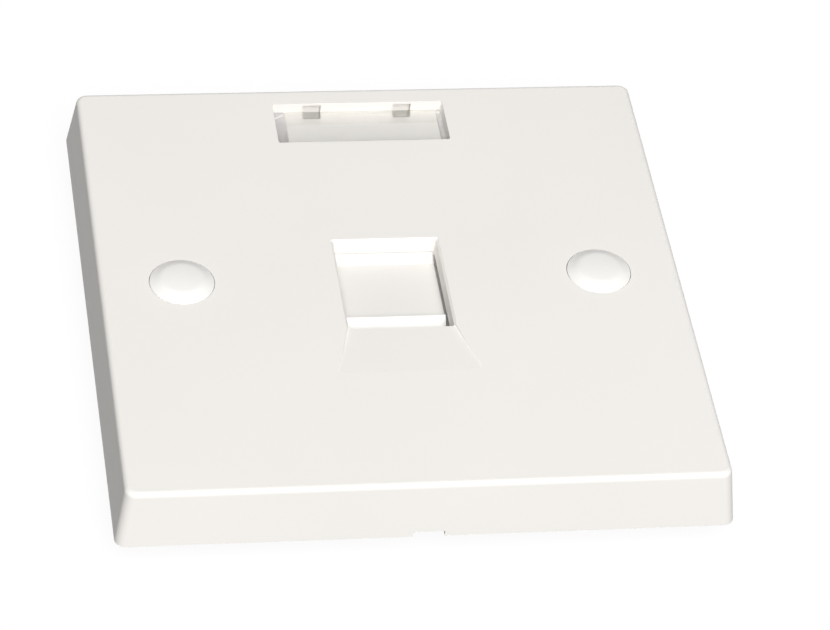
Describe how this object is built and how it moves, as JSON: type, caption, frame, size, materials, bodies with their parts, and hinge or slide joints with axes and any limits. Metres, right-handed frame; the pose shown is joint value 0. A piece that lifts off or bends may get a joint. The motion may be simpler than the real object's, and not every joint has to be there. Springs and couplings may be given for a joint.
{
  "type": "keystone faceplate",
  "caption": "Square white wall faceplate with a shuttered keystone port, a clear label window, domed screw caps and a rear jack carrier.",
  "frame": {"origin": "midway between the two fixing screws, on the plane of the rim that meets the wall", "axes": "+X across the plate along the row of fixing screws, +Y up towards the label window, +Z out of the face"},
  "size_m": [0.086, 0.086, 0.0164],
  "materials": {
    "white_abs": "moulded white ABS, satin gloss",
    "shutter_abs": "moulded white ABS, smooth",
    "cap_abs": "moulded white ABS, polished dome",
    "carrier_abs": "moulded white ABS, fine matt",
    "clear_cover": "clear moulded polycarbonate",
    "label_paper": "plain white paper card",
    "spring_steel": "drawn spring wire",
    "zinc_steel": "zinc-plated steel"
  },
  "bodies": {
    "plate": {"faceplate": "white_abs", "jack_carrier": "carrier_abs", "carrier_screws": "zinc_steel", "label_card": "label_paper", "shutter_spring_left": "spring_steel", "shutter_spring_right": "spring_steel"},
    "shutter": {"shutter": "shutter_abs"},
    "label_cover": {"label_cover": "clear_cover"},
    "screw_cap_left": {"screw_cap_left": "cap_abs"},
    "screw_cap_right": {"screw_cap_right": "cap_abs"}
  },
  "joints": [
    {"name": "shutter_slide", "type": "slide", "parent": "plate", "child": "shutter", "axis": [0, 1, 0], "range_m": [0, 0.0125], "stiffness_N_per_m": 40, "springref_m": -0.006, "deforming": ["shutter_spring_left", "shutter_spring_right"]},
    {"name": "label_cover_pull", "type": "slide", "parent": "plate", "child": "label_cover", "axis": [0, 0, 1], "range_m": [0, 0.012]},
    {"name": "screw_cap_left_pull", "type": "slide", "parent": "plate", "child": "screw_cap_left", "axis": [0, 0, 1], "range_m": [0, 0.012]},
    {"name": "screw_cap_right_pull", "type": "slide", "parent": "plate", "child": "screw_cap_right", "axis": [0, 0, 1], "range_m": [0, 0.012]}
  ]
}
